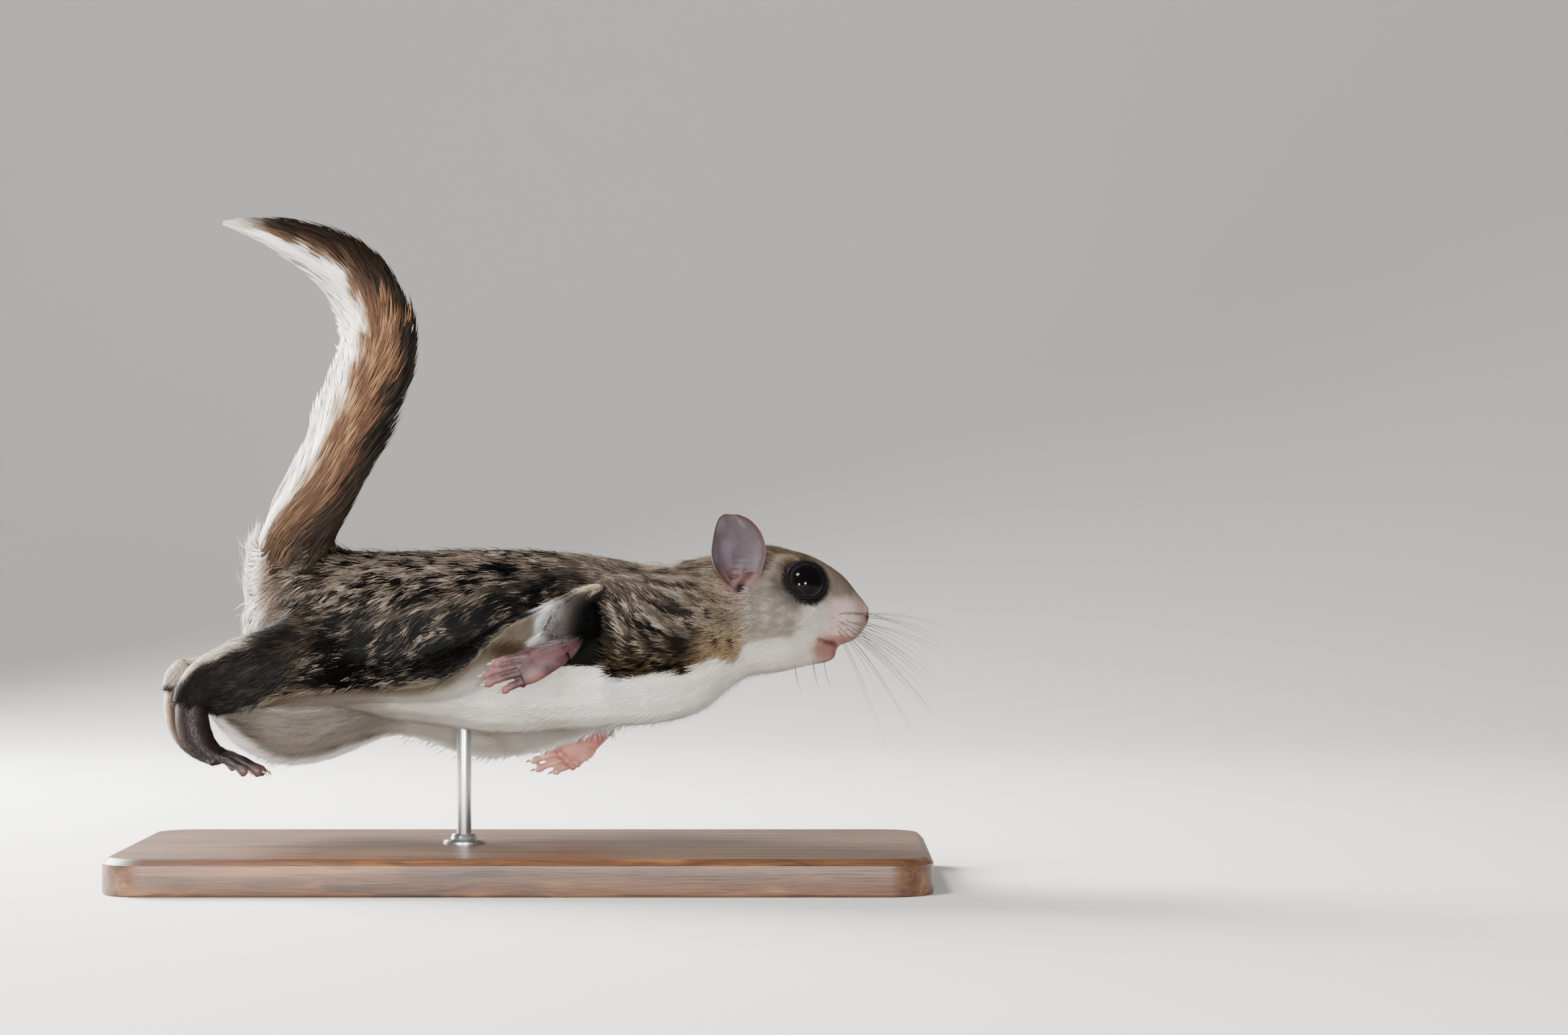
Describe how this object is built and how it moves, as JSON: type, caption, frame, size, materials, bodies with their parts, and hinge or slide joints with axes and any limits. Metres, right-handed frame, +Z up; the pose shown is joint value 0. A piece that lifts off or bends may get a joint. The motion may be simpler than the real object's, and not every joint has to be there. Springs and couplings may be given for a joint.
{
  "type": "flying squirrel display model",
  "caption": "Life-size southern flying squirrel in mid leap, belly turned to one side, tail raised and hooked back, held over a wooden base by one steel rod",
  "frame": {"origin": "Centre of the stand base's flat underside", "axes": "+X runs from tail to head along the base's length, +Y to the animal's left side, +Z up"},
  "size_m": [0.176, 0.086, 0.1457],
  "materials": {
    "coat": "mottled grey-brown and cream short fur",
    "tail_coat": "cinnamon fur, grey-brown on the upper side",
    "bare_skin": "thin pinkish-grey naked skin",
    "eye": "gloss black glass eye",
    "stand_wood": "satin dark walnut",
    "stand_steel": "satin steel rod"
  },
  "bodies": {
    "root": {"chest": "coat", "ear_left": "bare_skin", "ear_right": "bare_skin", "eye_left": "eye", "eye_right": "eye", "foreleg_left": "coat", "foreleg_right": "coat", "forepaw_left": "bare_skin", "forepaw_right": "bare_skin", "head": "coat", "hindfoot_left": "bare_skin", "hindfoot_right": "bare_skin", "hindleg_left": "coat", "hindleg_right": "coat", "neck": "coat", "patagium_left": "coat", "patagium_right": "coat", "rump": "coat", "stand_base": "stand_wood", "stand_rod": "stand_steel", "tail_base": "tail_coat", "tail_mid": "tail_coat", "tail_tip": "tail_coat", "torso": "coat"}
  },
  "joints": []
}
